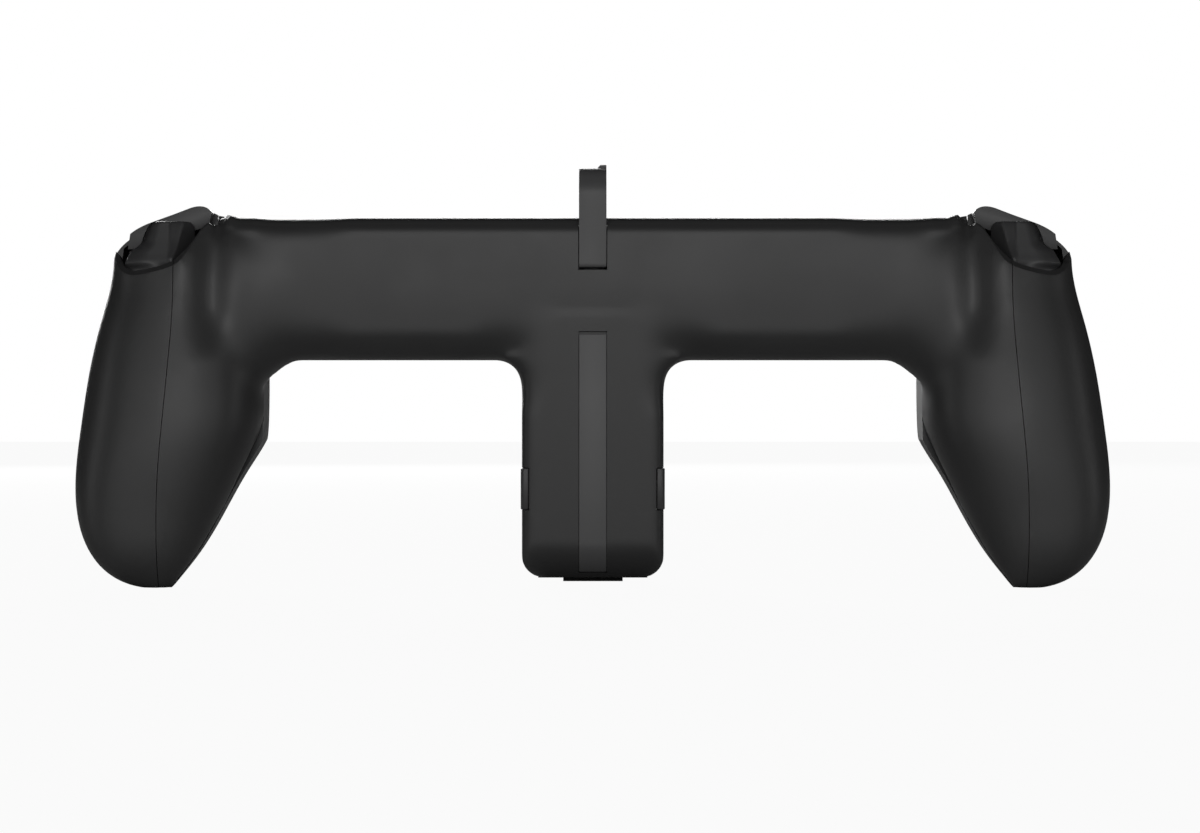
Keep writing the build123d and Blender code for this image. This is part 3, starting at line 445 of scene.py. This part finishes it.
# Blending; four numbers are where a weight starts, is full, begins to fall and ends
blendSet = {
    "steps": 130,
    "handleX": (62, 74, 106, 112),
    "handleZ": (20, 34),
    "cornerX": (84, 89, 101, 105),
    "cornerZ": (88, 92),
    "stemX": (8, 14, 24, 34),
    "stemZ": (44, 54, 64, 80),
    "backY": (0.8, 4.0),
    "valleyX": 99.5,
    "valleyWidth": 4.2,
    "valleyZ": (58, 74, 92, 104),
    "valleyY": (2, 5),
    "valleyDepth": 2.8,
    "evenSteps": 4,
}


def blendShell(shell):
    # Relaxes the skin where handle, bridge and stem run into each other
    group = shell.vertex_groups.new(name="blend")
    for v in shell.data.vertices:
        x, y, z = abs(v.co.x) / mm, v.co.y / mm, v.co.z / mm
        corner = fade(z, *blendSet["cornerZ"]) * hump(x, *blendSet["cornerX"])
        handle = hump(x, *blendSet["handleX"]) * (1 - corner) * fade(z, *blendSet["handleZ"])
        stem = hump(x, *blendSet["stemX"]) * hump(z, *blendSet["stemZ"])
        group.add([v.index], fade(y, *blendSet["backY"]) * max(handle, stem), "REPLACE")
    relax(shell, blendSet["steps"], "blend")
    for v in shell.data.vertices:
        # Valley between the handle's hump and the bridge's shoulder
        x, y, z = abs(v.co.x) / mm, v.co.y / mm, v.co.z / mm
        dip = exp(-((x - blendSet["valleyX"]) / blendSet["valleyWidth"]) ** 2)
        dip = dip * hump(z, *blendSet["valleyZ"]) * fade(y, *blendSet["valleyY"])
        v.co.y -= blendSet["valleyDepth"] * dip * mm
    relax(shell, blendSet["evenSteps"], "")


def rimCutter(shell, side):
    # Opening above the rim, its wall leaning so that the edge shows from behind
    path = smoothPath(shellSet["rim"], shellSet["rimSteps"])
    depths = []
    for x, z in path:
        hit, spot = shell.ray_cast(Vector((side * x, 60, z)) * mm, Vector((0, -1, 0)))[:2]
        depths.append(spot.y / mm if hit and spot.y / mm > backY - 4 else None)
    for k, d in enumerate(depths):
        if d is None:    # no wall behind this point: the nearest known depth
            near = [n for n in range(len(depths)) if depths[n] is not None]
            depths[k] = depths[min(near, key=lambda n: abs(n - k))] if near else backY
    lean, half = shellSet["rimLean"], shellSet["rimHalf"]
    front, back = shellSet["rimFront"], shellSet["rimBack"]
    rings = [[], [], [], []]
    for k, (x, z) in enumerate(path):
        a, b = path[max(0, k - 1)], path[min(len(path) - 1, k + 1)]
        along = Vector((b[0] - a[0], b[1] - a[1])).normalized()
        up = Vector((-along.y, along.x))
        share = fade(k, 0, shellSet["rimStart"])
        inward, outward = up * lean * share, up * (-lean) * share
        depth = depths[k]
        rings[0].append((side * (x + inward.x), front, z + inward.y))
        rings[1].append((side * (x + inward.x), depth - half, z + inward.y))
        rings[2].append((side * (x + outward.x), depth + half, z + outward.y))
        rings[3].append((side * (x + outward.x), back, z + outward.y))
    for ring, level in zip(rings, (front, None, None, back)):
        near = (ring[-1][1], ring[-1][1], ring[0][1])
        for (x, z), d in zip(shellSet["aboveRim"], near):
            ring.append((side * x, d if level is None else level, z))
    count = len(rings[0])
    corners = [[c * mm for c in corner] for ring in rings for corner in ring]
    faces = [list(range(count)), list(range(3 * count, 4 * count))]
    for r in range(3):
        for k in range(count):
            n = (k + 1) % count
            faces.append([r * count + k, r * count + n, (r + 1) * count + n, (r + 1) * count + k])
    mesh = bpy.data.meshes.new("rimCut")
    mesh.from_pydata(corners, [], faces)
    piece = bpy.data.objects.new("rimCut", mesh)
    bpy.context.scene.collection.objects.link(piece)
    pickOnly(piece)
    bpy.ops.object.mode_set(mode="EDIT")
    bpy.ops.mesh.select_all(action="SELECT")
    bpy.ops.mesh.quads_convert_to_tris()
    bpy.ops.mesh.normals_make_consistent(inside=False)
    bpy.ops.object.mode_set(mode="OBJECT")
    return piece


# Slots and windows in the shell; depths are measured forwards from the back face
openingSet = {
    "slotHalf": 3.8,
    "slotLow": 82.6,
    "slotDepth": 3.8,
    "slotStep": 93.3,
    "slotStepDepth": 6.9,
    "recessHalf": 3.72,
    "recessTop": 66.6,
    "recessDepth": 1.12,
    "recessLow": 3.3,
    "heelDepth": 9.5,
    "heelZ": 11.2,
    "heelRound": 8.38,
    "windowInner": ((16.6, None), (15.55, 0.8)),    # inner side, and how much of the back wall stays
    "windowOuter": 25.0,
    "windowDepth": 8.55,
    "windowLow": 19.75,
    "windowHigh": 30.95,
}


def shellCutters(shell):
    tools = []
    far, above = backY + 5, 120
    floor, stepped = backY - openingSet["slotDepth"], backY - openingSet["slotStepDepth"]
    low, step = openingSet["slotLow"], openingSet["slotStep"]
    slot = [(far, low), (floor, low), (floor, step), (stepped, step), (stepped, above), (far, above)]
    tools.append(prism("hookSlot", slot, "x", -openingSet["slotHalf"], openingSet["slotHalf"]))
    heel = []
    for a in range(0, -69, -4):
        heel.append((backY - openingSet["heelDepth"] + openingSet["heelRound"] * cos(radians(a)),
                     openingSet["heelZ"] + openingSet["heelRound"] * sin(radians(a))))
    top, bottom = openingSet["recessTop"], openingSet["recessLow"]
    recess = [(far, top), (backY - openingSet["recessDepth"], top)] + heel
    recess += [(heel[-1][0], bottom), (far, bottom)]
    tools.append(prism("stripRecess", recess, "x", -openingSet["recessHalf"], openingSet["recessHalf"]))
    for side in (1, -1):
        for inner, cover in openingSet["windowInner"]:
            low, high = sorted((side * inner, side * openingSet["windowOuter"]))
            back = far if cover is None else backY - cover
            tools.append(boxPiece("window", (low, backY - openingSet["windowDepth"], openingSet["windowLow"]),
                                  (high, back, openingSet["windowHigh"])))
        tools.append(rimCutter(shell, side))
    return tools


def outerSide(side, shift):
    # Everything outside the seam line
    line = smoothPath(shellSet["seam"])
    region = [(side * (x + shift), z) for x, z in line] + [(side * 150, -6.0), (side * 150, 106.0)]
    region.insert(0, (side * (line[0][0] + shift), 106.0))
    return prism("outerSide", region, "y", -40, 40)


def withoutCrumbs(piece):
    # Leaves out loose bits that the cuts can make
    pickOnly(piece)
    bpy.ops.object.mode_set(mode="EDIT")
    bpy.ops.mesh.select_all(action="SELECT")
    bpy.ops.mesh.separate(type="LOOSE")
    bpy.ops.object.mode_set(mode="OBJECT")
    bits = list(bpy.context.selected_objects)
    kept = [bit for bit in bits if len(bit.data.vertices) > shellSet["crumb"]]
    for bit in bits:
        if bit not in kept:
            bpy.data.objects.remove(bit)
    pickOnly(*kept)
    if len(kept) > 1:
        bpy.ops.object.join()
    return bpy.context.object


def finishPiece(piece, slotName):
    piece.data.materials.clear()
    piece.data.materials.append(skins[slotName])


def makeShell():
    shell = filledShell()
    blendShell(shell)
    for tool in shellCutters(shell):
        combine(shell, tool, "DIFFERENCE")
    gap = shellSet["seamGap"] / 2
    made = [(shell, "rearShell", "rear_shell")]
    for side, ending in ((1, "Right"), (-1, "Left")):
        pickOnly(shell)
        bpy.ops.object.duplicate()
        cover = bpy.context.object
        combine(cover, outerSide(side, gap), "INTERSECT")
        made.append((cover, "gripCover" + ending, "grip_cover_" + ending.lower()))
    for side in (1, -1):
        combine(shell, outerSide(side, -gap), "DIFFERENCE")
    for piece, name, node in made:
        print(name, len(piece.data.vertices), "corners")
        piece = withoutCrumbs(piece)
        piece.name = name
        pickOnly(piece)
        bpy.ops.object.shade_smooth_by_angle(angle=radians(shellSet["smoothAngle"]))
        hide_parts(node)
        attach(piece, "housing")
        finishPiece(piece, slots[node])


# Rounded edges: angles in degrees
edgeSet = {
    "flatAngle": 1.0,
    "sharpAngle": 28,
    "smoothAngle": 30,
    "segments": 3,
}


def softened(nodeName, width):
    # The node's own form with rounded edges, under the node's name in camel case
    first, *rest = nodeName.split("_")
    piece = copyOf(nodeName, first + "".join(word.capitalize() for word in rest))
    bpy.ops.object.mode_set(mode="EDIT")
    bpy.ops.mesh.select_all(action="SELECT")
    bpy.ops.mesh.dissolve_limited(angle_limit=radians(edgeSet["flatAngle"]))
    bpy.ops.object.mode_set(mode="OBJECT")
    bpy.ops.object.modifier_add(type="BEVEL")
    step = piece.modifiers[-1]
    step.width = width * mm
    step.segments = edgeSet["segments"]
    step.limit_method = "ANGLE"
    step.angle_limit = radians(edgeSet["sharpAngle"])
    step.harden_normals = False
    step.use_clamp_overlap = True
    applyLast(piece)
    bpy.ops.object.shade_smooth_by_angle(angle=radians(edgeSet["smoothAngle"]))
    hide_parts(nodeName)
    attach(piece, bodyOf[nodeName])
    finishPiece(piece, slots[nodeName])


def outlineAt(outline, z):
    # x of the outline at height z; the outline runs downwards
    for (x0, z0), (x1, z1) in zip(outline, outline[1:]):
        if z >= z1:
            return x0 + (x1 - x0) * (z0 - z) / (z0 - z1)
    return outline[-1][0]


# Triggers; face is (depth from the back face, z), outline is (x, z) of the outer side
triggerSet = {
    "voxel": 0.35,
    "ridge": 110.8,
    "roll": 3.4,
    "face": [(-1.6, 96.0), (-1.5, 95.5), (-1.1, 93.6), (-0.7, 91.8), (-0.3, 90.0), (0.1, 88.3), (0.5, 86.6),
             (0.9, 85.1), (1.2, 83.6), (1.3, 80.0)],
    "outline": [(114.6, 96.0), (116.0, 95.2), (116.7, 94.2), (117.6, 91.8), (118.2, 89.9), (119.3, 88.9),
                (120.8, 88.0), (121.5, 87.3), (122.4, 85.8), (122.7, 84.7), (122.8, 80.0)],
    "evenSteps": 3,
    "row": 0.5,
    "rows": (-2, -1, 0, 1, 2),
    "softX": (0.3, 2.5),
    "outlineZ": (84.2, 85.5),
    "faceZ": (82.8, 84.6),
    "facing": 0.2,
    "flat": 0.42,
    "rollPower": 2.2,
    "smoothAngle": 40,
}


def softTrigger(side):
    # Trigger with its S-shaped face relaxed, ridge and flank kept crisp
    nodeName = "trigger_right" if side > 0 else "trigger_left"
    piece = copyOf(nodeName, "triggerRight" if side > 0 else "triggerLeft")
    remesh(piece, triggerSet["voxel"])
    ridge = triggerSet["ridge"]
    group = piece.vertex_groups.new(name="face")
    for v in piece.data.vertices:
        weight = fade(abs(v.co.x) / mm, *(ridge + reach for reach in triggerSet["softX"]))
        group.add([v.index], weight, "REPLACE")
    # The face is stretched sideways to the S-shaped outline and rolled off towards it
    reach = {}
    for v in piece.data.vertices:
        row = round(v.co.z / mm / triggerSet["row"])
        reach[row] = max(reach.get(row, ridge), abs(v.co.x) / mm)
    rows = triggerSet["rows"]
    even = {row: sum(reach.get(row + n, reach[row]) for n in rows) / len(rows) for row in reach}
    normals = [v.normal.y for v in piece.data.vertices]
    for v in piece.data.vertices:
        x, z = abs(v.co.x) / mm, v.co.z / mm
        low = int(z / triggerSet["row"] // 1)
        part = z / triggerSet["row"] - low
        now = even.get(low, ridge) * (1 - part) + even.get(low + 1, even.get(low, ridge)) * part
        goal = now + (outlineAt(triggerSet["outline"], z) - now) * fade(z, *triggerSet["outlineZ"])
        if x > ridge and now > ridge + 1:
            x = min(goal, ridge + (x - ridge) * (goal - ridge) / (now - ridge))
            v.co.x = side * x * mm
        if normals[v.index] > triggerSet["facing"] and x > ridge - triggerSet["softX"][0]:
            roll = max(0, (x - ridge) / (goal - ridge) - triggerSet["flat"]) / (1 - triggerSet["flat"])
            deep = outlineAt(triggerSet["face"], z) - triggerSet["roll"] * roll ** triggerSet["rollPower"]
            v.co.y += ((backY + deep) * mm - v.co.y) * fade(z, *triggerSet["faceZ"])
    for groupName in ("", "face"):
        relax(piece, triggerSet["evenSteps"], groupName)
    bpy.ops.object.shade_smooth_by_angle(angle=radians(triggerSet["smoothAngle"]))
    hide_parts(nodeName)
    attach(piece, nodeName)
    finishPiece(piece, slots[nodeName])


makeShell()
print("shell done")
for side in (1, -1):
    softTrigger(side)
print("triggers done")

# Width of the rounded edges, in mm
softEdges = {
    "clamp_hook": 0.25,
    "stem_strip": 0.15,
    "release_button_left": 0.35,
    "release_button_right": 0.35,
    "bumper_left": 0.3,
    "bumper_right": 0.3,
}
for nodeName, width in softEdges.items():
    softened(nodeName, width)
print("edges done")

bpy.context.scene.view_settings.view_transform = "Standard"
makeCamera()
makeWorld()
makeFloor()
for name, (place, aim, size, power) in lamps.items():
    makeLight(name, place, aim, size, power)
print("studio done")
